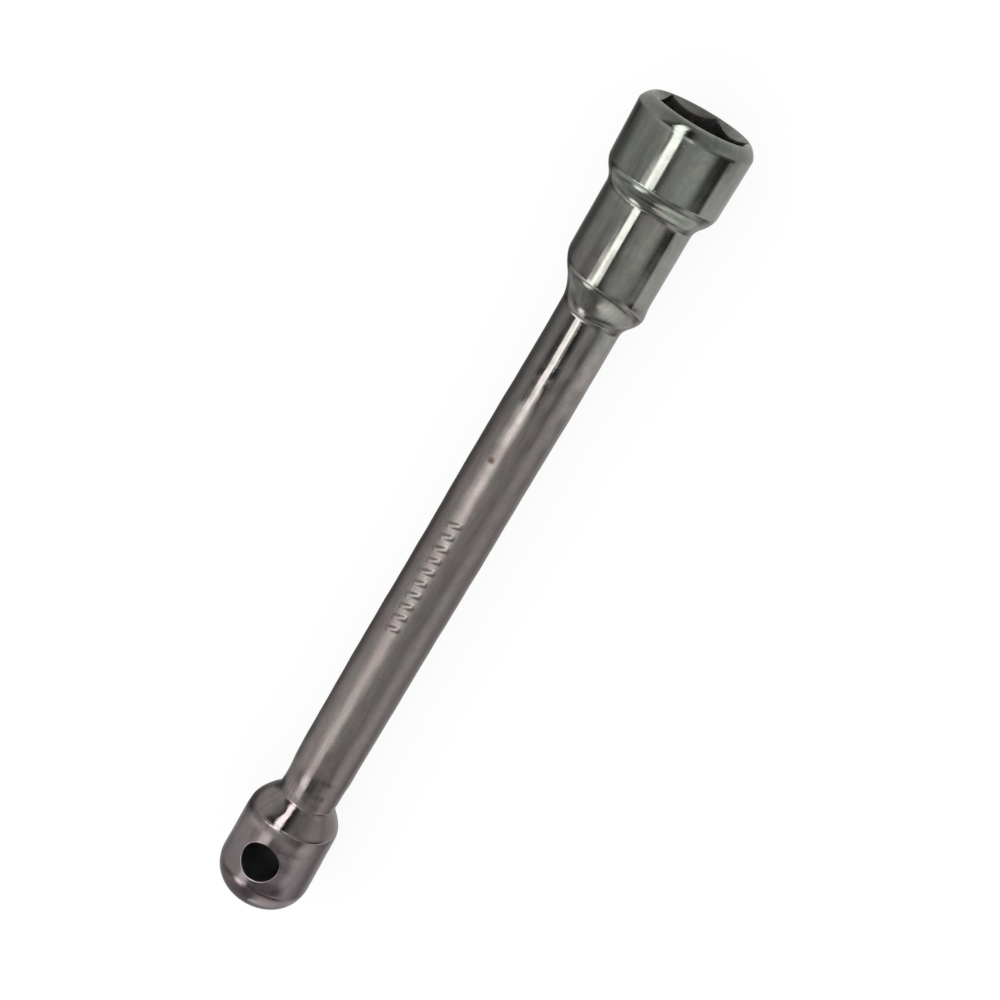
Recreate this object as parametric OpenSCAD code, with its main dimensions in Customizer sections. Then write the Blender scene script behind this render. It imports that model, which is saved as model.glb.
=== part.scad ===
// Tommy-bar lug wrench: a stepped hex socket, a round shank and a domed head
// with a cross hole for a loose tommy bar. A spring-loaded ball in the head
// holds the bar.
//
// Frame: millimetres. The origin is the centre of the socket's mouth. +X runs
// along the wrench's axis and out of the mouth, so the whole wrench lies at
// negative X. The tommy bar hole runs along Z.

/* [Socket] */
// Across-flats size of the hex recess, a wheel nut size plus its working gap
hex_af = 21.2; // [17.2:0.1:21.4]
// Depth of the hex recess from the mouth
hex_depth = 16; // [12:0.5:18]
// Turn of the hex about the wrench's axis, from the tommy bar hole's direction
hex_turn = 6.5; // [0:0.5:60]
// Outside diameter at the mouth
mouth_d = 29.7; // [29.2:0.1:31]
// Outside diameter at the back of the big section
big_d = 29.1; // [28.4:0.1:29.6]
// Length of the big section
big_len = 16.9; // [15:0.1:18]
// Outside diameter of the middle section
mid_d = 23.4; // [22.5:0.1:25]
// Where the middle section ends, measured from the mouth
mid_end = 43.2; // [41:0.1:43.9]
// Diameter of the clearance bore for the wheel stud behind the hex
stud_bore_d = 17; // [14:0.5:18]
// Where the stud clearance bore ends, measured from the mouth
stud_bore_end = 37.5; // [30:0.5:38]

/* [Shank] */
// Diameter of the shank
shank_d = 16.5; // [16.3:0.1:17]
// Diameter of the shank where it meets the socket's neck
neck_d = 16.2; // [16:0.1:16.6]
// Diameter of the waist beside the head
waist_d = 15.7; // [15:0.1:16]
// Where the socket's neck meets the shank, measured from the mouth
front_joint = 54; // [54:0.5:58]
// Across-flats size of the tenon in the socket
front_tenon_af = 12; // [10:0.5:12.5]
// Length of the tenon in the socket
front_tenon_len = 12; // [8:0.5:12]
// Number of raised marks in the row on the shank
mark_count = 10; // [3:1:12]
// Height that the marks stand out of the shank
mark_rise = 0.25; // [0.1:0.05:0.4]

/* [Head] */
// Diameter of the head beside its shoulder
head_d = 24.5; // [23.8:0.1:24.8]
// Diameter of the head where the dome starts
head_d_end = 25.1; // [24.8:0.1:25.4]
// Where the head meets the shank, measured from the mouth
rear_joint = 199.5; // [199:0.5:200.5]
// Across-flats size of the tenon in the head
rear_tenon_af = 11; // [9:0.5:11.5]
// Centre of the tommy bar hole, measured from the mouth
bar_hole_x = 219.5; // [219:0.1:220]
// Diameter of the tommy bar hole
bar_hole_d = 10.5; // [10:0.1:10.6]
// Overall length of the wrench
overall_len = 236.4; // [235:0.2:239]

/* [Detent] */
// Diameter of the detent ball
ball_d = 5; // [4.8:0.1:5]
// How far the ball stands into the bar hole at rest, with the bar in place
ball_rest = 0.2; // [0.1:0.05:0.25]
// How far the ball travels each way from rest
ball_travel = 0.5; // [0.3:0.1:0.5]
// Wire diameter of the detent spring
wire_d = 0.6; // [0.5:0.05:0.6]
// Number of turns of the detent spring, closed end turns included
spring_turns = 8; // [6:1:9]

/* [Hidden] */
smooth = 96;

// rim of the mouth: a flat ring, then a rounded corner
rim_flat_r = 12.7;
rim_axial = 3.2;
// corner radius of the hex recess, and of the lead-in cone at its mouth
hex_r = hex_af / 2 / cos(30);
lead_r = hex_r + 0.1;
lead_len = 1.4;

// the step from the big section to the middle one, and the shoulder behind it
step_len = 6.8;
shoulder_len = 10.0;

// seats and tenons
front_seat = front_joint - front_tenon_len - 0.5;
rear_tenon_len = 6.8;
rear_seat = rear_joint + rear_tenon_len + 0.2;

// detent: the lip stops the ball at its outer limit
bar_wall_x = bar_hole_x - bar_hole_d / 2;
ball_r = ball_d / 2;
ball_x = bar_wall_x + ball_rest - ball_r;
detent_r = ball_r + 0.05;
lip_r = ball_r - 0.3;
lip_x = ball_x + ball_travel + sqrt(ball_r * ball_r - lip_r * lip_r) + 0.02;
pocket_x = rear_joint - 1;
coil_r = 2.0;
coil_front = pocket_x + wire_d / 2 + 0.04;
coil_back = ball_x - sqrt(pow(ball_r + wire_d / 2 + 0.03, 2) - coil_r * coil_r);

// a smooth step between two radii, as [radius, distance from the mouth]; it is
// level at both ends and steepest after a share m of its length, where it has
// made a share k of its change
function cubic(t, ra, sa, rb, sb) =
    (2*t*t*t - 3*t*t + 1) * ra + (t*t*t - 2*t*t + t) * sa
    + (3*t*t - 2*t*t*t) * rb + (t*t*t - t*t) * sb;
function blend(x0, r0, x1, r1, n, m = 0.5, k = 0.5) =
    let (l = x1 - x0, d = r1 - r0, s = 1.9 * d / l)
    [for (i = [0 : n]) let (t = i / n)
        t < m ? [cubic(t / m, r0, 0, r0 + d * k, s * l * m), x0 + l * t]
        : [cubic((t - m) / (1 - m), r0 + d * k, s * l * (1 - m), r1, 0), x0 + l * t]];

// a rounded corner from [r0, x0] to [r1, x1]; it leaves the first point
// running outward and reaches the second running along the axis, and is a
// little flatter between them than a quarter ellipse
function corner(x0, r0, x1, r1, n) =
    [for (i = [0 : n]) let (a = 90 * i / n)
        [r0 + (r1 - r0) * pow(sin(a), 1.3), x0 + (x1 - x0) * (1 - (i == n ? 0 : pow(cos(a), 1.3)))]];

// a full dome that starts along the axis and closes on it
function dome(x0, r0, x1, n) =
    [for (i = [0 : n]) let (a = 90 * i / n)
        [i == n ? 0 : r0 * pow(cos(a), 0.84), x0 + (x1 - x0) * sin(a)]];

// places a solid drawn along +Z so that its Z is the distance from the mouth
module from_mouth() {
    rotate([0, -90, 0]) children();
}

// solid of revolution from a list of [radius, distance from the mouth]
module turned(points) {
    from_mouth() rotate_extrude($fn = smooth) polygon(points);
}

module round_bar(r, x0, x1) {
    from_mouth() translate([0, 0, x0]) cylinder(r = r, h = x1 - x0, $fn = smooth);
}

module hex_bar(af, x0, x1, turn) {
    from_mouth() translate([0, 0, x0]) rotate([0, 0, turn])
        cylinder(r = af / 2 / cos(30), h = x1 - x0, $fn = 6);
}

// One forging: big section, middle section and a neck, with the hex recess and
// the stud bore from the front and the tenon's seat from the back.
module socket() {
    color([0.72, 0.73, 0.72])
    difference() {
        turned(concat(
            [[0, 0]],
            corner(0, rim_flat_r, rim_axial, mouth_d / 2, 6),
            blend(big_len, big_d / 2, big_len + step_len, mid_d / 2, 10, 0.5, 0.55),
            blend(mid_end, mid_d / 2, mid_end + shoulder_len, neck_d / 2, 14, 0.42, 0.5),
            [[neck_d / 2, front_joint], [0, front_joint]]
        ));
        hex_bar(hex_af, -1, hex_depth, hex_turn);
        // lead-in cone at the mouth
        turned([[0, -1], [lead_r, -1], [lead_r, 0], [hex_af / 2 - 0.6, lead_len + 0.9], [0, lead_len + 0.9]]);
        round_bar(stud_bore_d / 2, hex_depth - 1, stud_bore_end);
        hex_bar(front_tenon_af, front_seat, front_joint + 1, 0);
    }
}

// Round bar with a hex tenon at each end. The rear tenon is drilled for the
// detent spring. The marks are plain raised pills in a row.
module shank() {
    color([0.70, 0.69, 0.69]) {
        difference() {
            union() {
                turned(concat(
                    [[0, front_joint], [neck_d / 2, front_joint]],
                    blend(58.5, neck_d / 2, 84, shank_d / 2, 6),
                    blend(160, shank_d / 2, 190, shank_d / 2 - 0.1, 4),
                    blend(191, shank_d / 2 - 0.1, 198.5, waist_d / 2, 6),
                    [[waist_d / 2, rear_joint], [0, rear_joint]]
                ));
                hex_bar(front_tenon_af, front_joint - front_tenon_len, front_joint + 1, 0);
                hex_bar(rear_tenon_af, rear_joint - 1, rear_joint + rear_tenon_len, 0);
                marks();
            }
            round_bar(detent_r, pocket_x, rear_joint + rear_tenon_len + 1);
        }
    }
}

// plain raised pills, each a short upright bar across the shank
module marks() {
    for (i = [0 : mark_count - 1])
        rotate([-10, 0, 0])
            translate([-(113 + i * 3.55), 0, shank_d / 2 - 0.6])
                rotate([0, 0, 20])
                    linear_extrude(0.6 + mark_rise)
                        union() {
                            square([1.0, 2.0], center = true);
                            for (s = [-1, 1])
                                translate([0, s]) circle(r = 0.5, $fn = 24);
                        }
}

// Upset head: shoulder, barrel and dome, with the cross hole, the seat for the
// shank's tenon and the stepped bore for the detent ball.
module tommy_bar_head() {
    color([0.68, 0.66, 0.66])
    difference() {
        turned(concat(
            [[0, rear_joint], [waist_d / 2, rear_joint]],
            blend(rear_joint + 1.8, waist_d / 2, 211, head_d / 2, 12, 0.47, 0.6),
            dome(226.6, head_d_end / 2, overall_len, 16)
        ));
        translate([-bar_hole_x, 0, -20]) cylinder(d = bar_hole_d, h = 40, $fn = smooth);
        hex_bar(rear_tenon_af, rear_joint - 1, rear_seat, 0);
        round_bar(detent_r, rear_seat - 1, lip_x);
        round_bar(lip_r, lip_x - 1, bar_hole_x);
    }
}

// Ball, held in its bore by the lip at the edge of the bar hole.
module detent_ball() {
    color([0.80, 0.80, 0.80])
    translate([-ball_x, 0, 0]) sphere(r = ball_r, $fn = 48);
}

// Compression spring between the shank's tenon and the ball, with closed ends.
ring_n = 6;
turn_n = 18;
steps = spring_turns * turn_n;
// share of the length gained after a share t of the turns: the first and the
// last turn are closed, and the others share the rest evenly
function rise(t) =
    let (n = t * spring_turns, closed = wire_d * 1.04,
         open = (coil_back - coil_front - 2 * closed) / (spring_turns - 2))
    n <= 1 ? n * closed
    : n >= spring_turns - 1 ? closed + (spring_turns - 2) * open + (n - spring_turns + 1) * closed
    : closed + (n - 1) * open;

module detent_spring() {
    pts = [for (i = [0 : steps]) let (a = 360 * i / turn_n, x = coil_front + rise(i / steps))
        for (k = [0 : ring_n - 1]) let (b = 360 * k / ring_n, r = coil_r + wire_d / 2 * cos(b))
            [r * cos(a), r * sin(a), x + wire_d / 2 * sin(b)]];
    sides = [for (i = [0 : steps - 1]) for (k = [0 : ring_n - 1])
        let (p = i * ring_n + k, q = i * ring_n + (k + 1) % ring_n)
            each [[p, p + ring_n, q], [q, p + ring_n, q + ring_n]]];
    caps = [[for (k = [0 : ring_n - 1]) k],
            [for (k = [ring_n - 1 : -1 : 0]) steps * ring_n + k]];
    color([0.55, 0.55, 0.57])
    from_mouth() polyhedron(points = pts, faces = concat(sides, caps), convexity = 10);
}

socket();
shank();
tommy_bar_head();
detent_ball();
detent_spring();
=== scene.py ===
import math

import bmesh
import bpy
import numpy as np
from mathutils import Matrix, Vector


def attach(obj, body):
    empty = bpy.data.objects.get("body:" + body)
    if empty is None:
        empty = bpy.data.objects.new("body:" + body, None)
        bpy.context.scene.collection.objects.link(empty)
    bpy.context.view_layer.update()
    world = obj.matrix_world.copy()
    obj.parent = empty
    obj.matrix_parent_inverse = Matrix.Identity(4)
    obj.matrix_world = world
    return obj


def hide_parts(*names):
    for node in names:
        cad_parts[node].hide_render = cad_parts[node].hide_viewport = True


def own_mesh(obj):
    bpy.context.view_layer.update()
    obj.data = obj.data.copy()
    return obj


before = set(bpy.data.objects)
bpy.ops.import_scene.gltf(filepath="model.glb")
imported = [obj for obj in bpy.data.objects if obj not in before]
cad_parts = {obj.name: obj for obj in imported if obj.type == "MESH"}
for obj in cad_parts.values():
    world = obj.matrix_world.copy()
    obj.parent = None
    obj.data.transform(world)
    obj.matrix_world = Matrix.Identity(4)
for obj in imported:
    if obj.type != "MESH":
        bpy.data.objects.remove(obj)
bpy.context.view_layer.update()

MM = 0.001
# The view's turn about the wrench's axis, from the tommy bar hole's direction.
PHI = math.radians(8.5)
# Unit vector across the view, to the right when the mouth is up.
ACROSS = np.array([0.0, -math.cos(PHI), -math.sin(PHI)])

# ---------------------------------------------------------------- profiles
# Distances x are from the mouth, in mm, and grow towards the head.


def step(x0, r0, x1, r1, n, m=0.5, k=0.5, steep=1.9, end=0.0):
    """A smooth step between two radii, level where it starts, with slope end
    where it stops, as [(x, r)]."""
    l, d = x1 - x0, r1 - r0
    s = steep * d / l

    def cubic(t, ra, sa, rb, sb):
        return ((2 * t**3 - 3 * t**2 + 1) * ra + (t**3 - 2 * t**2 + t) * sa
                + (3 * t**2 - 2 * t**3) * rb + (t**3 - t**2) * sb)

    out = []
    for i in range(n + 1):
        t = i / n
        if t < m:
            r = cubic(t / m, r0, 0, r0 + d * k, s * l * m)
        else:
            r = cubic((t - m) / (1 - m), r0 + d * k, s * l * (1 - m), r1, end * l * (1 - m))
        out.append((x0 + l * t, r))
    return out


def straight(x0, r0, x1, r1, n):
    return [(x0 + (x1 - x0) * i / n, r0 + (r1 - r0) * i / n) for i in range(n + 1)]


def rim(x0, r0, x1, r1, n, power=1.3):
    return [(x0 + (x1 - x0) * (1 - max(math.cos(a), 0.0) ** power), r0 + (r1 - r0) * math.sin(a) ** power)
            for a in np.linspace(0, math.pi / 2, n + 1)]


def dome(x0, r0, x1, n, power=0.76):
    return [(x0 + (x1 - x0) * math.sin(a), r0 * math.cos(a) ** power)
            for a in np.linspace(0, math.pi / 2, n + 1)[:-1]]


def joined(*parts):
    """One list of (x, r) with repeated points dropped."""
    out = []
    for part in parts:
        for p in part:
            if not out or abs(p[0] - out[-1][0]) + abs(p[1] - out[-1][1]) > 1e-6:
                out.append(p)
    return out


RIM_FLAT = 12.5
SOCKET_SKIN = joined(
    rim(0, RIM_FLAT, 2.8, 29.7 / 2, 22, 1.45),
    straight(2.8, 29.7 / 2, 16.9, 29.1 / 2, 18),
    step(16.9, 29.1 / 2, 23.9, 23.4 / 2, 36, 0.54, 0.52),
    straight(23.9, 23.4 / 2, 43.2, 23.4 / 2, 24),
    step(43.2, 23.4 / 2, 53.2, 16.2 / 2, 44, 0.42, 0.5),
    [(54.0, 16.2 / 2)],
)
SHANK_SKIN = joined(
    straight(54.0, 16.2 / 2, 58.5, 16.2 / 2, 5),
    step(58.5, 16.2 / 2, 84.0, 16.5 / 2, 26),
    straight(84.0, 16.5 / 2, 110.0, 16.5 / 2, 26),
    straight(110.0, 16.5 / 2, 148.0, 16.5 / 2, 190),
    straight(148.0, 16.5 / 2, 160.0, 16.5 / 2, 12),
    step(160.0, 16.5 / 2, 190.0, 16.3 / 2, 30),
    step(191.0, 16.3 / 2, 198.5, 15.7 / 2, 16),
    [(199.5, 15.7 / 2)],
)
HEAD_X0, BARREL_X0, BARREL_X1, END_X = 199.5, 211.0, 226.6, 236.4
CREST_X, CREST_R, CREST_SLOPE, CREST_LEN = 209.6, 12.18, 0.09, 4.4


def barrel_r(x):
    """Radius of the head's barrel: the shoulder's crest dies away into a
    slight cone."""
    u = np.clip((x - CREST_X) / CREST_LEN, 0.0, 1.0)
    return CREST_R + CREST_SLOPE * CREST_LEN * (u - u * u / 2) + 0.012 * np.maximum(x - CREST_X - CREST_LEN, 0.0)


HEAD_SKIN_A = joined([(HEAD_X0, 15.7 / 2)],
                     step(201.6, 15.7 / 2, CREST_X, CREST_R, 36, 0.5, 0.55, 1.355, CREST_SLOPE),
                     [(x, float(barrel_r(x))) for x in (209.85, 210.1, 210.4, 210.7, 211.0)])
PATCH_X = list(np.linspace(BARREL_X0, BARREL_X1, 33))
HEAD_SKIN_C = dome(BARREL_X1, float(barrel_r(BARREL_X1)), END_X, 44)


SKIN = np.array(SOCKET_SKIN + SHANK_SKIN + HEAD_SKIN_A + [(x, barrel_r(x)) for x in PATCH_X] + HEAD_SKIN_C + [(END_X, 0.0)])


def skin_r(x):
    return np.interp(x, SKIN[:, 0], SKIN[:, 1])


# Forging irregularities: how far each cross-section leans across the view (as
# a slope), how far its near side sits towards the head, and how far its centre
# sits to the right of the axis, in mm.
LEAN = [(-1, 0.0), (27, 0.075), (42, 0.285), (47, 0.285), (56, 0.0), (199.5, 0.0), (203.5, -0.06), (209.5, -0.06),
        (213.2, 0.0), (400, 0.0)]
FRONT = [(-1, 0.0), (18.5, 0.0), (22.5, -1.1), (25, -1.1), (33, 0.0), (201.6, 0.0), (209.6, -1.2), (210.6, -1.2), (215.0, 0.0),
         (400, 0.0)]
DRIFT = [(-1, 0.20), (17.5, 0.24), (24, -0.05), (43, -0.05), (52, 0.9), (60, 0.9), (110, 0.45), (165, -0.02),
         (186, -0.10), (199, 0.0), (206, -0.42), (213, -0.42), (226, -0.25), (400, -0.2)]


def eased(x, knots):
    xs, ys = np.array([k[0] for k in knots], float), np.array([k[1] for k in knots], float)
    i = np.clip(np.searchsorted(xs, x, side="right") - 1, 0, len(xs) - 2)
    t = np.clip((x - xs[i]) / (xs[i + 1] - xs[i]), 0, 1)
    t = t * t * (3 - 2 * t)
    return ys[i] + (ys[i + 1] - ys[i]) * t


def smooth(v, a, b):
    t = np.clip((v - a) / (b - a), 0, 1)
    return t * t * (3 - 2 * t)


def marks_height(x, arc):
    """Height of the row of plain raised pills at distance x and arc length from the row's centre line, in mm."""
    h = np.zeros_like(x)
    lean = math.tan(math.radians(24))
    for i in range(10):
        cx = 113.0 + i * 3.55
        half = 1.45 if i % 2 == 0 else 1.2
        a = (arc) - 0.1 * math.sin(i * 1.7)
        along = np.clip(a, -half, half)
        dx = x - (cx + along * lean)
        da = a - along
        d = np.sqrt((dx * math.cos(math.radians(24))) ** 2 + da**2)
        h = np.maximum(h, 0.19 * (1 - smooth(d, 0.2, 0.95)))
    return h


def forged(v, marks=False):
    """Moves the outer skin of a piece from the true turned shape to the forged one. v is in mm, in the row frame."""
    x = -v[:, 0]
    y, z = v[:, 1].copy(), v[:, 2].copy()
    r = np.hypot(y, z)
    psi = np.arctan2(y, z)
    rs = skin_r(np.clip(x, 0, END_X))
    w = smooth(r, rs - 1.9, rs - 0.35)
    w = np.where(x > BARREL_X1 - 0.5, np.maximum(w, 0.999), w)
    safe = np.maximum(r, 1e-6)
    grow = np.zeros_like(r)
    if marks:
        # the marks stand out of the skin, and the bar keeps a slight hammered waviness
        arc = (psi - math.radians(10.0)) * 8.25
        grow += marks_height(x, arc)
        spot = np.exp(-(((x - 93.7) / 0.6) ** 2 + ((psi - math.radians(8.2)) * 8.25 / 0.55) ** 2))
        grow -= 0.10 * spot
        fade = smooth(x, 56, 70) * (1 - smooth(x, 185, 196))
        grow += fade * 0.022 * (np.sin(x * 0.37 + 2.1 * np.sin(psi)) * np.cos(2 * psi + x * 0.05)
                                + 0.7 * np.sin(x * 0.71 + 1.3 + 3.0 * np.cos(psi + 0.4)))
    else:
        body = smooth(x, 24, 30) * (1 - smooth(x, 48, 54)) * 0.35 + smooth(x, 199.5, 204) * 0.7
        grow += body * 0.018 * (np.sin(x * 0.43 + 1.7 * np.sin(psi)) * np.cos(2 * psi)
                                + 0.6 * np.sin(x * 0.9 + 2.0 * np.cos(psi)))
    grow = grow * w
    y = y + y / safe * grow
    z = z + z / safe * grow
    across = y * ACROSS[1] + z * ACROSS[2]
    near = np.maximum(z * math.cos(PHI) - y * math.sin(PHI), 0) / np.maximum(rs, 1.0)
    x = x + (eased(x, LEAN) * across**3 / np.maximum(rs, 1.0) ** 2 + eased(x, FRONT) * near**2) * w
    shift = eased(x, DRIFT) * w
    out = np.empty_like(v)
    out[:, 0] = -x
    out[:, 1] = y + ACROSS[1] * shift
    out[:, 2] = z + ACROSS[2] * shift
    return out


# ---------------------------------------------------------------- mesh tools


class Loft:
    """Rings of n points about the X axis, joined by bands of quads. psi runs from +Z towards +Y."""

    def __init__(self, n, offset=0.0):
        self.n = n
        self.psi = np.radians(offset) + 2 * math.pi * np.arange(n) / n
        self.v, self.f, self.m = [], [], []
        self.count = 0

    def ring(self, x, r):
        x = np.broadcast_to(np.asarray(x, float), (self.n,))
        r = np.broadcast_to(np.asarray(r, float), (self.n,))
        self.v.append(np.stack([-x, r * np.sin(self.psi), r * np.cos(self.psi)], 1))
        self.count += self.n
        return self.count - self.n

    def points(self, p):
        self.v.append(np.asarray(p, float))
        self.count += len(p)
        return self.count - len(p)

    def band(self, a, b, mat=0, skip=()):
        n = self.n
        for j in range(n):
            if j in skip:
                continue
            k = (j + 1) % n
            self.f.append((a + j, a + k, b + k, b + j))
            self.m.append(mat)

    def fan(self, x, ring, mat=0, flip=False):
        pole = self.points([[-x, 0.0, 0.0]])
        for j in range(self.n):
            k = (j + 1) % self.n
            self.f.append((pole, ring + k, ring + j) if flip else (pole, ring + j, ring + k))
            self.m.append(mat)

    def chain(self, rings, mat=0):
        """Adds each (x, r, mat) ring and the band that leads to it. Returns the first and last ring."""
        first = last = None
        for x, r, *rest in rings:
            here = self.ring(x, r)
            if last is not None:
                self.band(last, here, rest[0] if rest else mat)
            else:
                first = here
            last = here
        return first, last


def hexagon(psi, af, turn, corner):
    """Radius of a hexagon with rounded corners at each angle; a corner stands at turn degrees from +Z."""
    a = af / 2
    d = np.abs((np.degrees(psi) - turn + 30) % 60 - 30)
    d = np.radians(d)
    flat = a / np.cos(math.pi / 6 - d)
    dc = (a - corner) / math.cos(math.pi / 6)
    reach = dc * np.cos(d) + np.sqrt(np.maximum(corner**2 - (dc * np.sin(d)) ** 2, 0))
    on_arc = dc * np.sin(d) < corner * math.sin(math.pi / 6)
    return np.where(on_arc, np.minimum(reach, flat), flat)


def make(name, v_mm, faces, mats, materials, sharp=35):
    mesh = bpy.data.meshes.new(name)
    mesh.from_pydata([tuple(p) for p in np.asarray(v_mm) * MM], [], faces)
    for m in materials:
        mesh.materials.append(m)
    mesh.polygons.foreach_set("material_index", np.array(mats, np.int32))
    bm = bmesh.new()
    bm.from_mesh(mesh)
    bmesh.ops.remove_doubles(bm, verts=bm.verts, dist=1e-8)
    bmesh.ops.recalc_face_normals(bm, faces=bm.faces)
    bm.to_mesh(mesh)
    bm.free()
    mesh.shade_smooth()
    mesh.set_sharp_from_angle(angle=math.radians(sharp))
    mesh.update()
    obj = bpy.data.objects.new(name, mesh)
    bpy.context.scene.collection.objects.link(obj)
    return obj


def open_edges(obj):
    bm = bmesh.new()
    bm.from_mesh(obj.data)
    bad = sum(1 for e in bm.edges if not e.is_manifold)
    volume = bm.calc_volume(signed=True)
    bm.free()
    return bad, volume


# ---------------------------------------------------------------- materials


def nodes_of(mat_or_world):
    mat_or_world.use_nodes = True
    t = mat_or_world.node_tree
    t.nodes.clear()
    return t


def math_node(t, op, a, b=None, c=None, clamp=False):
    n = t.nodes.new("ShaderNodeMath")
    n.operation = op
    n.use_clamp = clamp
    for i, v in enumerate((a, b, c)):
        if v is None:
            continue
        if isinstance(v, (int, float)):
            n.inputs[i].default_value = v
        else:
            t.links.new(v, n.inputs[i])
    return n.outputs[0]


def map_range(t, v, a, b, c, d, smoothed=True):
    n = t.nodes.new("ShaderNodeMapRange")
    n.interpolation_type = "SMOOTHSTEP" if smoothed else "LINEAR"
    t.links.new(v, n.inputs["Value"])
    for key, val in zip(("From Min", "From Max", "To Min", "To Max"), (a, b, c, d)):
        n.inputs[key].default_value = val
    return n.outputs[0]


def mix_colour(t, fac, a, b, kind="MIX"):
    n = t.nodes.new("ShaderNodeMix")
    n.data_type = "RGBA"
    n.blend_type = kind
    for key, v in (("Factor", fac), ("A", a), ("B", b)):
        socket = next(s for s in n.inputs if s.name == key and s.type == ("VALUE" if key == "Factor" else "RGBA"))
        if isinstance(v, (int, float)):
            socket.default_value = v
        elif isinstance(v, tuple):
            socket.default_value = (*v, 1.0)
        else:
            t.links.new(v, socket)
    return next(s for s in n.outputs if s.type == "RGBA")


def noise(t, vector, scale, detail=3.0, rough=0.5):
    n = t.nodes.new("ShaderNodeTexNoise")
    n.inputs["Scale"].default_value = scale
    n.inputs["Detail"].default_value = detail
    n.inputs["Roughness"].default_value = rough
    t.links.new(vector, n.inputs["Vector"])
    return n.outputs["Fac"]


def combine(t, x, y, z):
    n = t.nodes.new("ShaderNodeCombineXYZ")
    for i, v in enumerate((x, y, z)):
        if isinstance(v, (int, float)):
            n.inputs[i].default_value = v
        else:
            t.links.new(v, n.inputs[i])
    return n.outputs[0]


def knots(t, value, lo, hi, pairs):
    """A smooth curve through (position, value) pairs, by a colour ramp. Values must be 0 to 1."""
    pos = map_range(t, value, lo, hi, 0, 1, smoothed=False)
    n = t.nodes.new("ShaderNodeValToRGB")
    n.color_ramp.interpolation = "EASE"
    els = n.color_ramp.elements
    while len(els) > 1:
        els.remove(els[-1])
    for i, (p, v) in enumerate(pairs):
        e = els[0] if i == 0 else els.new((p - lo) / (hi - lo))
        e.position = (p - lo) / (hi - lo)
        e.color = (v, v, v, 1)
    t.links.new(pos, n.inputs[0])
    s = t.nodes.new("ShaderNodeSeparateColor")
    t.links.new(n.outputs[0], s.inputs[0])
    return s.outputs[0]


# The plate's colour along the wrench: a cool grey on the socket that turns warm
# on the bar and brownish on the head; its last two stops darken the head's dome as painted shade.
PLATE_TINT_AND_DOME_SHADE = [(0, (0.600, 0.635, 0.560)), (28, (0.600, 0.630, 0.555)), (50, (0.610, 0.590, 0.540)), (72, (0.620, 0.575, 0.540)),
         (100, (0.630, 0.550, 0.525)), (188, (0.630, 0.550, 0.525)), (206, (0.620, 0.530, 0.530)), (219, (0.605, 0.490, 0.520)),
         (227, (0.500, 0.400, 0.425)), (233, (0.460, 0.370, 0.390))]


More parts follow.
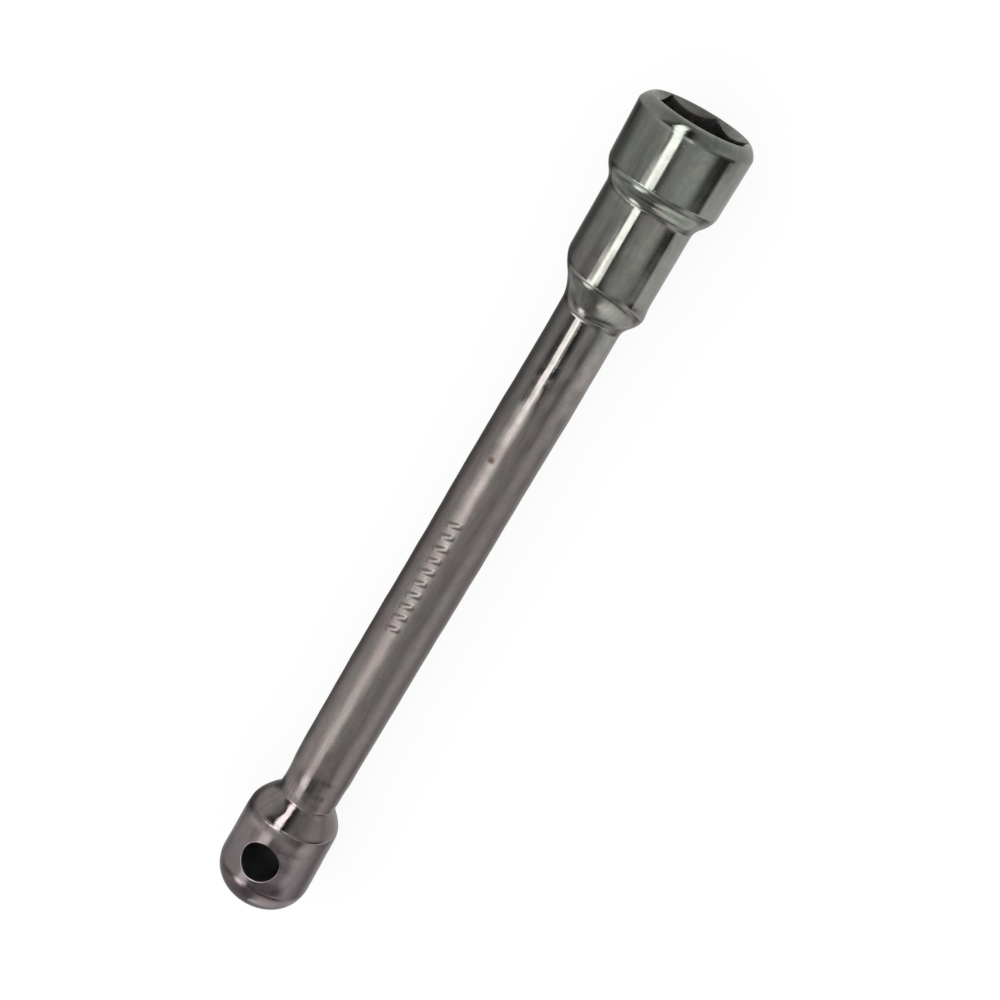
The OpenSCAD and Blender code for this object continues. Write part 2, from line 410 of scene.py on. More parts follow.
def chrome(name, rough_knots, shade=1.0, streak=0.5, grain=1.0, spot=False, plain=None):
    """Chrome plate: soft polish lines along the wrench, cloudiness, pin pits, fine scratches, and with spot a punched
    dot inside a patch of painted shade.
    """
    mat = bpy.data.materials.new(name)
    t = nodes_of(mat)
    out = t.nodes.new("ShaderNodeOutputMaterial")
    b = t.nodes.new("ShaderNodeBsdfPrincipled")
    t.links.new(b.outputs[0], out.inputs[0])
    tc = t.nodes.new("ShaderNodeTexCoord")
    where = tc.outputs["Object"]
    sep = t.nodes.new("ShaderNodeSeparateXYZ")
    t.links.new(where, sep.inputs[0])
    x, y, z = sep.outputs
    dist = math_node(t, "MULTIPLY", x, -1000.0)
    ang = math_node(t, "ARCTAN2", y, z)
    cs, sn = math_node(t, "COSINE", ang), math_node(t, "SINE", ang)
    # polish lines: noise stretched along the wrench
    v_streak = combine(t, math_node(t, "MULTIPLY", dist, 0.05), math_node(t, "MULTIPLY", cs, 4.0), math_node(t, "MULTIPLY", sn, 4.0))
    st = noise(t, v_streak, 2.6, 3.0, 0.55)
    v_hair = combine(t, math_node(t, "MULTIPLY", dist, 0.12), math_node(t, "MULTIPLY", cs, 22.0), math_node(t, "MULTIPLY", sn, 22.0))
    hair = noise(t, v_hair, 2.6, 3.0, 0.6)
    # the plate's hue drifts a little in patches about a centimetre long
    v_hue = combine(t, math_node(t, "MULTIPLY", dist, 0.16), math_node(t, "MULTIPLY", cs, 1.9), math_node(t, "MULTIPLY", sn, 1.9))
    # cloudiness of the plate, at two sizes, and a finer mottle
    cloud = noise(t, where, 95.0, 3.0, 0.5)
    mottle = noise(t, where, 420.0, 4.0, 0.6)
    fine = noise(t, where, 1300.0, 3.0, 0.6)
    # pin pits
    vor = t.nodes.new("ShaderNodeTexVoronoi")
    vor.inputs["Scale"].default_value = 480.0
    vor.inputs["Randomness"].default_value = 1.0
    t.links.new(where, vor.inputs["Vector"])
    pick = noise(t, where, 260.0, 2.0, 0.5)
    pit = math_node(t, "MULTIPLY", map_range(t, vor.outputs["Distance"], 0.05, 0.16, 1, 0),
                    map_range(t, pick, 0.60, 0.66, 0, 1))
    # colour: the plate's tint, which darkens on the head's dome as painted shade
    if plain:
        base = mix_colour(t, map_range(t, cloud, 0.35, 0.70, 0, 1), tuple(c * 0.9 for c in plain), plain)
    else:
        n = t.nodes.new("ShaderNodeValToRGB")
        els = n.color_ramp.elements
        while len(els) > 1:
            els.remove(els[-1])
        for i, (p, c) in enumerate(PLATE_TINT_AND_DOME_SHADE):
            e = els[0] if i == 0 else els.new(p / 240)
            e.position = p / 240
            e.color = (*(k * shade for k in c), 1)
        t.links.new(map_range(t, dist, 0, 240, 0, 1, smoothed=False), n.inputs[0])
        base = n.outputs[0]
    hue = noise(t, v_hue, 1.0, 2.0, 0.5)
    base = mix_colour(t, map_range(t, hue, 0.52, 0.66, 0.0, 0.30), base, (0.64, 0.50, 0.49))
    base = mix_colour(t, map_range(t, hue, 0.34, 0.48, 0.30, 0.0), base, (0.53, 0.62, 0.54))
    base = mix_colour(t, map_range(t, st, 0.34, 0.66, 0.22, 0.0), base, (0.26, 0.25, 0.24))
    base = mix_colour(t, map_range(t, hair, 0.45, 0.72, 0.0, 0.16 * streak), base, (0.22, 0.21, 0.20))
    base = mix_colour(t, map_range(t, mottle, 0.40, 0.70, 0.0, 0.26), base, (0.36, 0.345, 0.33))
    base = mix_colour(t, map_range(t, cloud, 0.44, 0.70, 0.0, 0.24), base, (0.46, 0.38, 0.37))
    base = mix_colour(t, math_node(t, "MULTIPLY", pit, 0.5 * grain), base, (0.10, 0.08, 0.07))
    rough = knots(t, dist, 0.0, 240.0, rough_knots)
    if spot:
        dx = math_node(t, "DIVIDE", math_node(t, "SUBTRACT", dist, 93.7), 1.15)
        da = math_node(t, "DIVIDE", math_node(t, "SUBTRACT", ang, math.radians(8.2)), 0.14)
        d = math_node(t, "SQRT", math_node(t, "ADD", math_node(t, "MULTIPLY", dx, dx), math_node(t, "MULTIPLY", da, da)))
        d = math_node(t, "ADD", d, math_node(t, "MULTIPLY", math_node(t, "SUBTRACT", fine, 0.5), 0.7))
        ring = map_range(t, d, 0.35, 1.1, 1, 0)
        # a darker patch round the punched dot: painted shade
        hx = math_node(t, "DIVIDE", math_node(t, "SUBTRACT", dist, 91.2), 3.4)
        ha = math_node(t, "DIVIDE", math_node(t, "SUBTRACT", ang, math.radians(7)), 0.36)
        dot_shade = math_node(t, "SQRT", math_node(t, "ADD", math_node(t, "MULTIPLY", hx, hx), math_node(t, "MULTIPLY", ha, ha)))
        dot_shade = math_node(t, "ADD", dot_shade, math_node(t, "MULTIPLY", math_node(t, "SUBTRACT", mottle, 0.5), 0.9))
        base = mix_colour(t, map_range(t, dot_shade, 0.3, 1.2, 0.38, 0), base, (0.20, 0.17, 0.16))
        base = mix_colour(t, math_node(t, "MULTIPLY", ring, 0.75), base, (0.20, 0.13, 0.09))
        rough = math_node(t, "ADD", rough, math_node(t, "MULTIPLY", ring, 0.25))
    rough = math_node(t, "ADD", rough, map_range(t, st, 0.30, 0.75, -0.015, 0.03))
    rough = math_node(t, "ADD", rough, map_range(t, mottle, 0.35, 0.75, -0.01, 0.035))
    rough = math_node(t, "ADD", rough, math_node(t, "MULTIPLY", pit, 0.3), clamp=True)
    # relief
    height = math_node(t, "ADD", math_node(t, "MULTIPLY", hair, 0.20 * streak), math_node(t, "MULTIPLY", fine, 0.30 * grain))
    height = math_node(t, "ADD", height, math_node(t, "MULTIPLY", mottle, 0.55 * grain))
    height = math_node(t, "SUBTRACT", height, math_node(t, "MULTIPLY", pit, 0.8 * grain))
    bump = t.nodes.new("ShaderNodeBump")
    bump.inputs["Strength"].default_value = 0.16
    bump.inputs["Distance"].default_value = 0.00006
    t.links.new(height, bump.inputs["Height"])
    t.links.new(base, b.inputs["Base Color"])
    t.links.new(rough, b.inputs["Roughness"])
    t.links.new(bump.outputs[0], b.inputs["Normal"])
    b.inputs["Metallic"].default_value = 1.0
    return mat


def dark_steel(name, colour, rough, metallic=0.6, ridges=0.0):
    """Bare steel where the plate doesn't reach; inside the holes its near-black colour is painted shade."""
    mat = bpy.data.materials.new(name)
    t = nodes_of(mat)
    out = t.nodes.new("ShaderNodeOutputMaterial")
    b = t.nodes.new("ShaderNodeBsdfPrincipled")
    t.links.new(b.outputs[0], out.inputs[0])
    tc = t.nodes.new("ShaderNodeTexCoord")
    n1 = noise(t, tc.outputs["Object"], 420.0, 4.0, 0.6)
    n2 = noise(t, tc.outputs["Object"], 1600.0, 2.0, 0.5)
    base = mix_colour(t, map_range(t, n1, 0.35, 0.7, 0, 1), tuple(c * 0.6 for c in colour), tuple(min(1, c * 1.5) for c in colour))
    r = math_node(t, "ADD", map_range(t, n1, 0.3, 0.7, rough - 0.06, rough + 0.10), map_range(t, n2, 0.3, 0.7, -0.04, 0.04), clamp=True)
    bump = t.nodes.new("ShaderNodeBump")
    bump.inputs["Strength"].default_value = 0.5
    bump.inputs["Distance"].default_value = 0.0001
    t.links.new(math_node(t, "ADD", n1, math_node(t, "MULTIPLY", n2, 0.5)), bump.inputs["Height"])
    t.links.new(base, b.inputs["Base Color"])
    t.links.new(r, b.inputs["Roughness"])
    t.links.new(bump.outputs[0], b.inputs["Normal"])
    b.inputs["Metallic"].default_value = metallic
    return mat


m_socket = chrome("socket_chrome", [(0, 0.065), (54, 0.07), (240, 0.07)], streak=0.8, grain=0.7)
m_shank = chrome("shank_chrome",
                 [(50, 0.06), (67, 0.065), (73, 0.11), (82, 0.20), (92, 0.25), (104, 0.28), (176, 0.28), (187, 0.20), (195, 0.10), (199.5, 0.13), (240, 0.13)],
                 streak=0.8, grain=1.2, spot=True)
m_head = chrome("head_chrome", [(190, 0.11), (199, 0.13), (202.2, 0.14), (204, 0.07), (207.5, 0.075), (210, 0.085), (215, 0.085), (226, 0.10), (240, 0.13)], streak=0.4, grain=1.0)
m_recess = chrome("recess_chrome", [(0, 0.24), (240, 0.24)], streak=0.8, grain=1.0, plain=(0.34, 0.35, 0.34))
# near-black steel in the socket's bore and the joints' seats: painted shade
m_deep_shade = dark_steel("deep_steel_shade", (0.035, 0.034, 0.033), 0.55)
# near-black steel in the cross hole: painted shade
m_bore_shade = dark_steel("bore_steel_shade", (0.020, 0.020, 0.021), 0.6)
m_ball = chrome("ball_steel", [(0, 0.06), (240, 0.06)], streak=0.0, grain=0.3, plain=(0.72, 0.72, 0.73))
m_spring = dark_steel("spring_steel", (0.30, 0.30, 0.31), 0.35, metallic=1.0)

# ---------------------------------------------------------------- socket
lf = Loft(256, 6.5)
hex_open = hexagon(lf.psi, 21.2, 6.5, 0.45)
lead_r = 21.2 / 2 / math.cos(math.pi / 6) + 0.1
lead_x = (lead_r - hex_open) * 0.98
rings = [(37.5, 2.0, 1), (37.5, 8.1, 1), (37.38, 8.38, 1), (37.1, 8.5, 1)]
rings += [(x, 8.5, 1) for x in np.linspace(35.5, 16.5, 12)]
rings += [(16.15, 8.62, 1), (16.0, 8.9, 1), (16.0, hex_open - 0.45, 1), (15.9, hex_open - 0.12, 1), (15.6, hex_open, 2)]
rings += [(15.3 + (lead_x + 0.3 - 15.3) * t, hex_open, 2) for t in np.linspace(0, 1, 12)[1:]]
rings += [(lead_x + 0.1, hex_open + 0.012, 2), (lead_x - 0.04, hex_open + 0.07, 2)]
for t in (0.15, 0.4, 0.65, 0.85, 0.94):
    rings.append(((lead_x - 0.04) * (1 - t) + 0.0 * t, (hex_open + 0.07) * (1 - t) + lead_r * t, 0))
rings += [(0.03, lead_r + 0.03, 0), (0.0, lead_r + 0.09, 0)]
rings += [(x, r, 0) for x, r in SOCKET_SKIN]
seat = hexagon(lf.psi, 12.02, 0.0, 0.4)
rings += [(54.0, seat + 0.5, 1), (54.0, seat, 1), (48.0, seat, 1), (41.5, seat, 1), (41.5, 2.0, 1)]
first, last = lf.chain(rings)
lf.fan(37.5, first, 1)
lf.fan(41.5, last, 1)
socket = make("wrench_socket", forged(np.concatenate(lf.v)), lf.f, lf.m, [m_socket, m_deep_shade, m_recess])

# ---------------------------------------------------------------- shank
lf = Loft(240, 0.0)
tenon = hexagon(lf.psi, 12.0, 0.0, 0.4)
rear = hexagon(lf.psi, 11.0, 0.0, 0.4)
rings = [(42.0, 2.0, 1), (42.0, tenon - 0.3, 1), (42.3, tenon, 1), (48.0, tenon, 1), (54.0, tenon, 1)]
rings += [(x, r, 0) for x, r in SHANK_SKIN]
rings += [(199.5, rear + 0.4, 1), (199.5, rear, 1), (206.0, rear, 1), (206.3, rear - 0.3, 1), (206.3, 2.75, 1), (206.1, 2.55, 1)]
rings += [(x, 2.55, 1) for x in (203.5, 201.0, 198.5)] + [(198.5, 0.8, 1)]
first, last = lf.chain(rings)
lf.fan(42.0, first, 1)
lf.fan(198.5, last, 1)
shank = make("wrench_shank", forged(np.concatenate(lf.v), marks=True), lf.f, lf.m, [m_shank, m_deep_shade])

# ---------------------------------------------------------------- head
# Skin of revolution with two windows, each filled by rings that run from the
# window's edge to the cross hole, over a rounded lip, and through the head.
HOLE_X, HOLE_R, LIP = 219.5, 5.25, 0.32
lf = Loft(240, 0.0)
HALF = 28  # columns each side of the hole's centre line
top = [j % 240 for j in range(-HALF, HALF)]
bottom = [j % 240 for j in range(120 - HALF, 120 + HALF)]
skip = set(top + bottom)
ring_a = [(x, r) for x, r in HEAD_SKIN_A]
first, last = lf.chain([(HEAD_X0, 2.0, 1), (HEAD_X0, 7.0, 1)] + [(x, r, 0) for x, r in ring_a])
lf.fan(HEAD_X0, first, 1)
patch_rings = [last]
for x in PATCH_X[1:]:
    here = lf.ring(x, barrel_r(x))
    lf.band(patch_rings[-1], here, 0, skip)
    patch_rings.append(here)
first, last = lf.chain([(x, r, 0) for x, r in HEAD_SKIN_C])
lf.band(patch_rings[-1], first, 0)
lf.fan(END_X, last, 0)


def surface_z(x, y):
    r = barrel_r(x)
    return np.sqrt(np.maximum(r * r - y * y, 0.0))


all_v = np.concatenate(lf.v)
edge_rings = {}
for side, centre in ((1, 0), (-1, 120)):
    cols = [(centre + j) % 240 for j in range(-HALF, HALF + 1)]
    loop = [patch_rings[0] + c for c in cols]
    loop += [r + cols[-1] for r in patch_rings[1:]]
    loop += [patch_rings[-1] + c for c in reversed(cols[:-1])]
    loop += [r + cols[0] for r in reversed(patch_rings[1:-1])]
    px = -all_v[loop, 0] - HOLE_X
    py = all_v[loop, 1]
    ang = np.arctan2(py, px)
    # even out the angles a little, so that the ring round the hole is regular
    order = np.unwrap(ang)
    turn = np.sign(order[-1] - order[0])
    even = order[HALF] + turn * 2 * math.pi * (np.arange(len(loop)) - HALF) / len(loop)
    ang = order * 0.45 + even * 0.55
    cosa, sina = np.cos(ang), np.sin(ang)
    prev = loop
    ts = np.linspace(0, 1, 19)[1:]
    for t in ts:
        e = 1 - (1 - t) ** 1.25
        gx = px * (1 - e) + (HOLE_R + LIP) * cosa * e
        gy = py * (1 - e) + (HOLE_R + LIP) * sina * e
        start = lf.points(np.stack([-(HOLE_X + gx), gy, side * surface_z(HOLE_X + gx, gy)], 1))
        here = list(range(start, start + len(loop)))
        for j in range(len(loop)):
            k = (j + 1) % len(loop)
            lf.f.append((prev[j], prev[k], here[k], here[j]))
            lf.m.append(0)
        prev = here
    for g in np.radians([15, 30, 45, 60, 75, 90]):
        rho = HOLE_R + LIP - LIP * math.sin(g)
        gx, gy = rho * cosa, rho * sina
        zz = surface_z(HOLE_X + gx, gy) - LIP * (1 - math.cos(g))
        start = lf.points(np.stack([-(HOLE_X + gx), gy, side * zz], 1))
        here = list(range(start, start + len(loop)))
        for j in range(len(loop)):
            k = (j + 1) % len(loop)
            lf.f.append((prev[j], prev[k], here[k], here[j]))
            lf.m.append(0 if g < math.radians(70) else 1)
        prev = here
    edge_rings[side] = (prev, cosa, sina, zz)
# the wall of the hole, from the top edge to the bottom one
(prev, cosa, sina, z_top), (low, cos_b, sin_b, z_low) = edge_rings[1], edge_rings[-1]
# the bottom loop runs the other way round: match each top point to the nearest bottom one
match = [int(np.argmin((cos_b - c) ** 2 + (sin_b - s) ** 2)) for c, s in zip(cosa, sina)]
assert len(set(match)) == len(match)
for t in np.linspace(0, 1, 27)[1:-1]:
    gx, gy = HOLE_R * cosa, HOLE_R * sina
    zz = z_top * (1 - t) - z_low[match] * t
    start = lf.points(np.stack([-(HOLE_X + gx), gy, zz], 1))
    here = list(range(start, start + len(cosa)))
    for j in range(len(cosa)):
        k = (j + 1) % len(cosa)
        lf.f.append((prev[j], prev[k], here[k], here[j]))
        lf.m.append(1)
    prev = here
for j in range(len(cosa)):
    k = (j + 1) % len(cosa)
    lf.f.append((prev[j], prev[k], low[match[k]], low[match[j]]))
    lf.m.append(1)
head = make("wrench_head", forged(np.concatenate(lf.v)), lf.f, lf.m, [m_head, m_bore_shade])

# the seat for the shank's tenon and the stepped bore of the detent, cut out
cut = Loft(96, 0.0)
seat = hexagon(cut.psi, 11.02, 0.0, 0.4)
first, last = cut.chain([(197.0, 3.0), (197.0, seat), (206.5, seat), (206.5, 2.55), (213.657, 2.55), (213.657, 2.2), (217.0, 2.2), (217.0, 0.8)])
cut.fan(197.0, first)
cut.fan(217.0, last)
cutter = make("cutter", np.concatenate(cut.v), cut.f, [0] * len(cut.f), [m_bore_shade])
mod = head.modifiers.new("detent", "BOOLEAN")
mod.operation = "DIFFERENCE"
mod.solver = "EXACT"
mod.object = cutter
bpy.context.view_layer.update()
cut_mesh = bpy.data.meshes.new_from_object(head.evaluated_get(bpy.context.evaluated_depsgraph_get()))
head.modifiers.clear()
old = head.data
head.data = cut_mesh
bpy.data.meshes.remove(old)
bpy.data.objects.remove(cutter)
head.data.name = "wrench_head"
head.data.shade_smooth()
head.data.set_sharp_from_angle(angle=math.radians(35))

# ---------------------------------------------------------------- spring
WIRE, COIL, TURNS, RING, PER = 0.3, 2.0, 8, 12, 40
x_front, x_back = 198.84, 211.95 - math.sqrt((2.5 + 0.33) ** 2 - 4.0)
closed = 2 * WIRE * 1.04
open_pitch = (x_back - x_front - 2 * closed) / (TURNS - 2)


def rise(n):
    if n <= 1:
        return n * closed
    if n >= TURNS - 1:
        return closed + (TURNS - 2) * open_pitch + (n - TURNS + 1) * closed
    return closed + (n - 1) * open_pitch


pts, fcs = [], []
total = TURNS * PER
for i in range(total + 1):
    a = 2 * math.pi * i / PER
    xc = x_front + rise(i / PER)
    for k in range(RING):
        b = 2 * math.pi * k / RING
        rr = COIL + WIRE * math.cos(b)
        pts.append((-(xc + WIRE * math.sin(b)), rr * math.sin(a), rr * math.cos(a)))
for i in range(total):
    for k in range(RING):
        p, q = i * RING + k, i * RING + (k + 1) % RING
        fcs.append((p, q, q + RING, p + RING))
fcs.append(tuple(range(RING)))
fcs.append(tuple(total * RING + k for k in reversed(range(RING))))
spring = make("wrench_detent_spring", pts, fcs, [0] * len(fcs), [m_spring], sharp=50)

for piece, node, slot in ((socket, "socket", "socket_chrome"), (shank, "shank", "shank_chrome"),
                          (head, "tommy_bar_head", "head_chrome"), (spring, "detent_spring", "spring_steel")):
    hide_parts(node)
    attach(piece, "wrench")
    print("PIECE", piece.name, "faces", len(piece.data.polygons), "open edges and volume", open_edges(piece))
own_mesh(spring)

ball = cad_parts["detent_ball"]
ball.data.materials.clear()
ball.data.materials.append(m_ball)

# ---------------------------------------------------------------- stage
floor_z = -29.7 / 2 * MM - 0.00002
bpy.ops.mesh.primitive_plane_add(size=12, location=(-0.11, 0, floor_z))
floor = bpy.context.object
floor.name = "floor"
floor.visible_glossy = False
mf = bpy.data.materials.new("floor_paper")
t = nodes_of(mf)
out = t.nodes.new("ShaderNodeOutputMaterial")
bs = t.nodes.new("ShaderNodeBsdfDiffuse")
bs.inputs["Color"].default_value = (0.93, 0.93, 0.93, 1)
em = t.nodes.new("ShaderNodeEmission")
em.inputs["Color"].default_value = (1, 1, 1, 1)
em.inputs["Strength"].default_value = 1.02
mx = t.nodes.new("ShaderNodeMixShader")
mx.inputs[0].default_value = 0.86
t.links.new(bs.outputs[0], mx.inputs[1])
t.links.new(em.outputs[0], mx.inputs[2])
t.links.new(mx.outputs[0], out.inputs[0])
floor.data.materials.append(mf)

# World: white to the camera, soft white to the floor, and for reflections a
# dim studio with one long softbox and grey cards that run along the wrench.
world = bpy.data.worlds.new("studio")
bpy.context.scene.world = world
t = nodes_of(world)
out = t.nodes.new("ShaderNodeOutputWorld")
tc = t.nodes.new("ShaderNodeTexCoord")
sep = t.nodes.new("ShaderNodeSeparateXYZ")
t.links.new(tc.outputs["Generated"], sep.inputs[0])
dx, dy, dz = sep.outputs
lat = math_node(t, "SUBTRACT", math_node(t, "MULTIPLY", dy, -math.cos(PHI)), math_node(t, "MULTIPLY", dz, math.sin(PHI)))
nrm = math_node(t, "SUBTRACT", math_node(t, "MULTIPLY", dz, math.cos(PHI)), math_node(t, "MULTIPLY", dy, math.sin(PHI)))
theta = math_node(t, "MULTIPLY", math_node(t, "ARCTAN2", lat, nrm), 180 / math.pi)
PEAK = 8.0  # the ramps hold radiance divided by this

# Each row of cards is [(degrees round the wrench, radiance)]. 0 faces the
# camera, negative is to the left.
SOFT = 1.8
CARDS = {
    0.97: [(-180, 0.40), (-60, 0.16), (0, 0.16), (60, 0.20), (180, 0.40)],
    0.88: [(-180, 0.48), (-110, 0.22), (-60, 0.18), (-44, 0.04), (-40, 1.6), (-20, 1.6), (-16, 0.0), (-4, 0.02), (8, 0.08), (24, 0.18),
           (60, 0.18), (100, 0.24), (180, 0.48)],
    0.80: [(-180, 0.50), (-110, 0.24), (-60, 0.18), (-44, 0.04), (-40, SOFT), (-20, SOFT), (-16, 0.0), (-4, 0.02), (8, 0.08), (24, 0.18),
           (60, 0.18), (100, 0.24), (180, 0.50)],
    0.45: [(-180, 0.55), (-150, 0.36), (-120, 0.28), (-90, 0.30), (-70, 0.28), (-58, 0.08), (-38, 0.02), (-34, SOFT), (-16, SOFT),
           (-12, 0.01), (-1, 0.02), (14, 0.20), (34, 0.13), (50, 0.24), (75, 0.32), (100, 0.26), (130, 0.30), (160, 0.40), (180, 0.55)],
    0.10: [(-180, 0.50), (-150, 0.34), (-120, 0.28), (-90, 0.30), (-70, 0.28), (-58, 0.08), (-33, 0.03), (-29, 1.4), (-16, 1.4),
           (-12, 0.01), (-3, 0.03), (14, 0.20), (34, 0.15), (55, 0.24), (75, 0.28), (100, 0.26), (130, 0.32), (160, 0.40), (180, 0.50)],
    -0.182: [(-180, 0.5), (-165, 0.28), (-147, 0.08), (-132, 0.04), (-118, 0.13), (-100, 0.24), (-70, 0.34), (-50, 0.42),
             (-33, 0.46), (-30, SOFT), (-14.5, SOFT), (-12, 0.24), (-4, 0.60), (3, 0.80), (10, 0.42), (15, 0.27), (30, 0.23), (45, 0.17),
             (56, 0.11), (66, 0.04), (87, 0.015), (95, 0.06), (104, 0.24), (118, 0.38), (140, 0.40), (180, 0.5)],
    -0.227: [(-180, 0.5), (-162, 0.26), (-145, 0.09), (-120, 0.08), (-98, 0.24), (-78, 0.26), (-62, 0.21), (-45, 0.28),
             (-30, 0.20), (-27.5, SOFT), (-13.5, SOFT), (-11, 0.03), (-6, 0.10), (3, 0.24), (16, 0.28), (38, 0.40), (52, 0.34),
             (59, 0.18), (66, 0.05), (86, 0.02), (94, 0.44), (115, 0.46), (145, 0.44), (180, 0.5)],
    -0.290: [(-180, 0.36), (-158, 0.10), (-130, 0.09), (-106, 0.15), (-80, 0.25), (-68, 0.16), (-58, 0.02), (-42, 0.01),
             (-38.5, SOFT), (-22.5, SOFT), (-19.5, 0.01), (-4, 0.01), (3, 0.05), (14, 0.24), (28, 0.26), (40, 0.11), (53, 0.12),
             (64, 0.40), (80, 0.62), (100, 0.55), (140, 0.42), (180, 0.36)],
    -0.315: [(-180, 0.36), (-155, 0.10), (-130, 0.09), (-106, 0.15), (-80, 0.22), (-64, 0.20), (-52, 0.06),
             (-44, 0.06), (-40, 1.5), (-22, 1.5), (-17, 0.03), (-3, 0.06), (14, 0.22), (30, 0.18), (46, 0.14), (60, 0.30), (76, 0.42),
             (100, 0.30), (120, 0.24), (150, 0.38), (180, 0.36)],
    -0.333: [(-180, 0.36), (-155, 0.10), (-130, 0.06), (-106, 0.14), (-80, 0.20), (-73, 0.24), (-63, 0.80),
             (-54, 1.8), (-17, 1.8), (-4, 0.50), (6, 0.18), (16, 0.20), (30, 0.17), (46, 0.13), (60, 0.30), (76, 0.36),
             (98, 0.24), (118, 0.18), (150, 0.36), (180, 0.36)],
    -0.355: [(-180, 0.36), (-155, 0.10), (-130, 0.05), (-106, 0.13), (-80, 0.21), (-69, 0.24), (-60, 0.50),
             (-54, 1.5), (-24, 1.6), (-9, 0.38), (4, 0.18), (16, 0.18), (30, 0.14), (46, 0.13), (60, 0.28), (76, 0.32),
             (96, 0.18), (115, 0.12), (150, 0.36), (180, 0.36)],
    -0.385: [(-180, 0.36), (-155, 0.10), (-130, 0.03), (-110, 0.10), (-92, 0.22), (-66, 0.24), (-54, 0.22), (-44, 0.28), (-28, 0.40),
             (-14, 0.46), (-2, 0.28), (10, 0.20), (30, 0.12), (48, 0.09), (62, 0.34), (78, 0.38), (100, 0.18), (120, 0.12), (150, 0.36), (180, 0.36)],
    -0.445: [(-180, 0.36), (-155, 0.10), (-130, 0.03), (-110, 0.12), (-92, 0.25), (-66, 0.30), (-54, 0.36), (-44, 0.30), (-26, 0.30),
             (-12, 0.24), (8, 0.22), (30, 0.11), (46, 0.10), (62, 0.38), (78, 0.42), (100, 0.24), (120, 0.14), (150, 0.38), (180, 0.36)],
    -0.480: [(-180, 0.36), (-155, 0.10), (-130, 0.12), (-110, 0.26), (-84, 0.54), (-66, 0.58), (-54, 0.54), (-45, 0.50), (-26, 0.50),
             (-14, 0.38), (4, 0.30), (28, 0.30), (46, 0.18), (60, 0.52), (78, 0.44), (100, 0.26), (120, 0.18), (150, 0.38), (180, 0.36)],
    -0.508: [(-180, 0.5), (-155, 0.24), (-130, 0.16), (-110, 0.30), (-84, 0.34), (-62, 0.18), (-52, 0.30), (-44, 0.95), (-23, 1.05),
             (-16, 0.06), (-8, 0.04), (4, 0.12), (16, 0.25), (28, 0.29), (46, 0.34), (62, 0.46), (78, 0.40), (100, 0.26), (120, 0.18), (150, 0.38), (180, 0.5)],
    -0.545: [(-180, 0.5), (-155, 0.28), (-130, 0.22), (-102, 0.32), (-80, 0.34), (-62, 0.36), (-50, 0.42), (-41, 0.70), (-31, 0.70),
             (-18, 0.20), (-8, 0.15), (6, 0.11), (26, 0.07), (38, 0.05), (56, 0.05), (66, 0.20), (78, 0.36), (98, 0.30), (122, 0.18),
             (150, 0.36), (180, 0.5)],
    -0.585: [(-180, 0.4), (-150, 0.28), (-120, 0.22), (-95, 0.30), (-75, 0.26), (-62, 0.20), (-52, 0.32), (-44, 0.95), (-24, 1.10),
             (-17, 0.05), (-6, 0.03), (6, 0.09), (18, 0.20), (34, 0.20), (50, 0.34), (64, 0.42), (80, 0.36), (100, 0.28), (125, 0.20),
             (150, 0.36), (180, 0.4)],
    -0.68: [(-180, 0.4), (-150, 0.34), (-120, 0.18), (-90, 0.10), (-74, 0.10), (-60, 0.30), (-50, 1.6), (-36, 1.6), (-26, 0.36),
            (-12, 0.16), (8, 0.09), (28, 0.05), (64, 0.05), (80, 0.14), (98, 0.36), (130, 0.50), (160, 0.45), (180, 0.4)],
    -0.80: [(-180, 0.30), (-140, 0.22), (-120, 0.22), (-90, 0.26), (-60, 0.24), (-40, 0.18), (-26, 0.09), (-4, 0.12), (10, 0.18),
            (28, 0.36), (50, 0.48), (80, 0.52), (110, 0.46), (140, 0.34), (180, 0.30)],
    -0.98: [(-180, 0.16), (-110, 0.18), (-50, 0.14), (4, 0.10), (20, 0.24), (38, 0.60), (62, 0.72), (110, 0.62), (150, 0.30), (180, 0.16)],
}
def cards(rows):
    pos = map_range(t, theta, -180, 180, 0, 1, smoothed=False)
    n = t.nodes.new("ShaderNodeValToRGB")
    n.color_ramp.interpolation = "LINEAR"
    els = n.color_ramp.elements
    while len(els) > 1:
        els.remove(els[-1])
    for i, (deg, val) in enumerate(rows):
        p = (deg + 180) / 360
        e = els[0] if i == 0 else els.new(p)
        e.position = p
        e.color = (val / PEAK, val / PEAK, val / PEAK, 1)
    t.links.new(pos, n.inputs[0])
    return n.outputs[0]


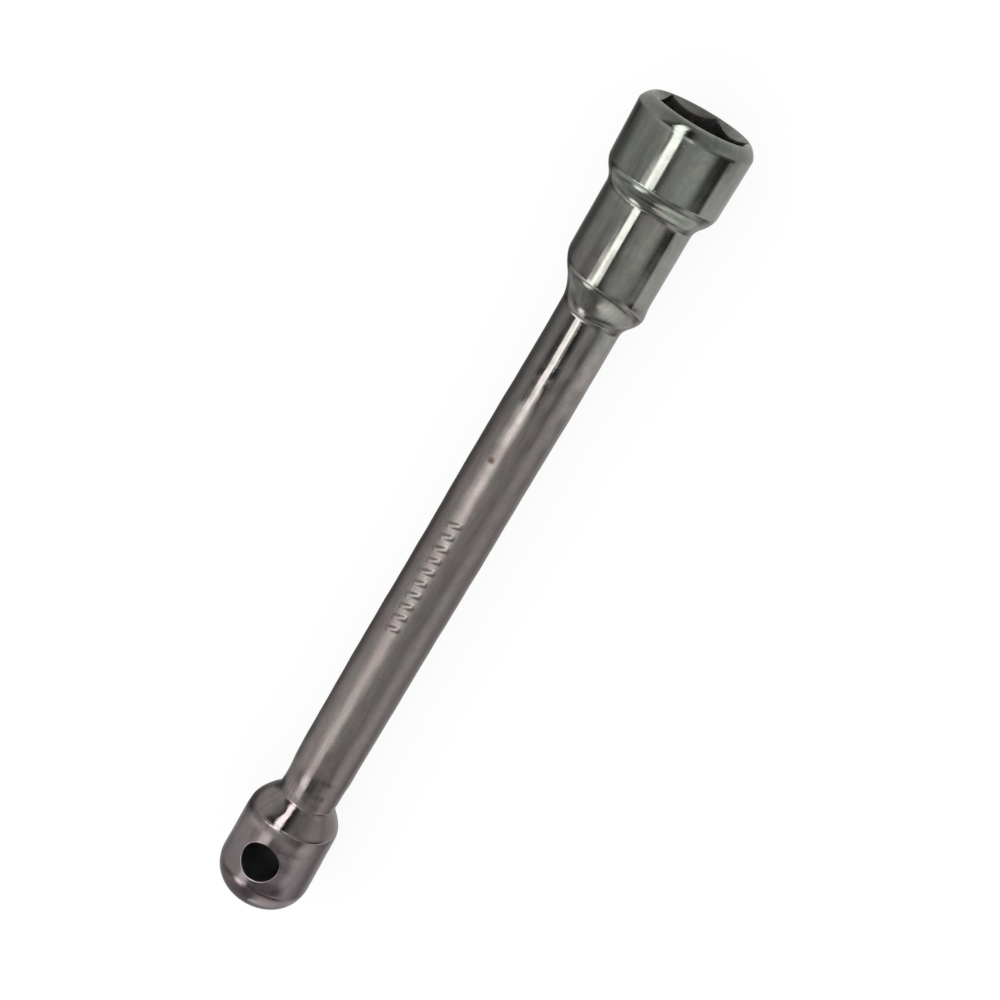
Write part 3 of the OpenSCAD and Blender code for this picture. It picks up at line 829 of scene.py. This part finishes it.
keys = sorted(CARDS, reverse=True)
glow = cards(CARDS[keys[0]])
for a, b in zip(keys, keys[1:]):
    # two changes are held to the edges between sections
    lo, hi = {-0.227: (-0.2075, -0.198), -0.545: (-0.530, -0.503)}.get(b, (b, a))
    glow = mix_colour(t, map_range(t, dx, lo, hi, 1, 0, smoothed=False), glow, cards(CARDS[b]))
bg_refl = t.nodes.new("ShaderNodeBackground")
t.links.new(glow, bg_refl.inputs[0])
bg_refl.inputs[1].default_value = PEAK
bg_soft = t.nodes.new("ShaderNodeBackground")
bg_soft.inputs[0].default_value = (1, 1, 1, 1)
bg_soft.inputs[1].default_value = 1.08
bg_cam = t.nodes.new("ShaderNodeBackground")
bg_cam.inputs[0].default_value = (1, 1, 1, 1)
bg_cam.inputs[1].default_value = 1.0
lp = t.nodes.new("ShaderNodeLightPath")
m1 = t.nodes.new("ShaderNodeMixShader")
t.links.new(lp.outputs["Is Glossy Ray"], m1.inputs[0])
t.links.new(bg_soft.outputs[0], m1.inputs[1])
t.links.new(bg_refl.outputs[0], m1.inputs[2])
m2 = t.nodes.new("ShaderNodeMixShader")
t.links.new(lp.outputs["Is Camera Ray"], m2.inputs[0])
t.links.new(m1.outputs[0], m2.inputs[1])
t.links.new(bg_cam.outputs[0], m2.inputs[2])
t.links.new(m2.outputs[0], out.inputs[0])

# ---------------------------------------------------------------- camera
FOCAL = 2100.0  # in pixels of a 1000-pixel frame
LEANS = math.radians(21.0)  # how far the wrench's axis leans towards the camera
ROLL = math.radians(30.34)
DIST, AIM = 510.56, 104.2  # mm to the axis point in the view's centre row, and that point's distance from the mouth
SIDE = -17.6 * DIST / FOCAL  # mm that the axis sits right of the view's centre
ct, st_, cp, sp = math.cos(LEANS), math.sin(LEANS), math.cos(PHI), math.sin(PHI)
right = Vector((0, -cp, -sp))
down = Vector((-ct, -st_ * sp, st_ * cp))
into = Vector((-st_, ct * sp, -ct * cp))
where = (Vector((-AIM, 0, 0)) - right * SIDE - into * DIST) * MM
cam_x = right * math.cos(ROLL) - down * math.sin(ROLL)
cam_down = right * math.sin(ROLL) + down * math.cos(ROLL)
cam = bpy.data.objects.new("camera", bpy.data.cameras.new("camera"))
bpy.context.scene.collection.objects.link(cam)
rot = Matrix((cam_x, -cam_down, -into)).transposed()
cam.matrix_world = Matrix.Translation(where) @ rot.to_4x4()
cam.data.sensor_fit = "HORIZONTAL"
cam.data.sensor_width = 36.0
cam.data.lens = 36.0 * FOCAL / 1000.0
cam.data.clip_start = 0.01
cam.data.clip_end = 50.0
bpy.context.scene.camera = cam

scene = bpy.context.scene
scene.view_settings.view_transform = "Standard"
scene.view_settings.look = "None"

bpy.context.view_layer.update()
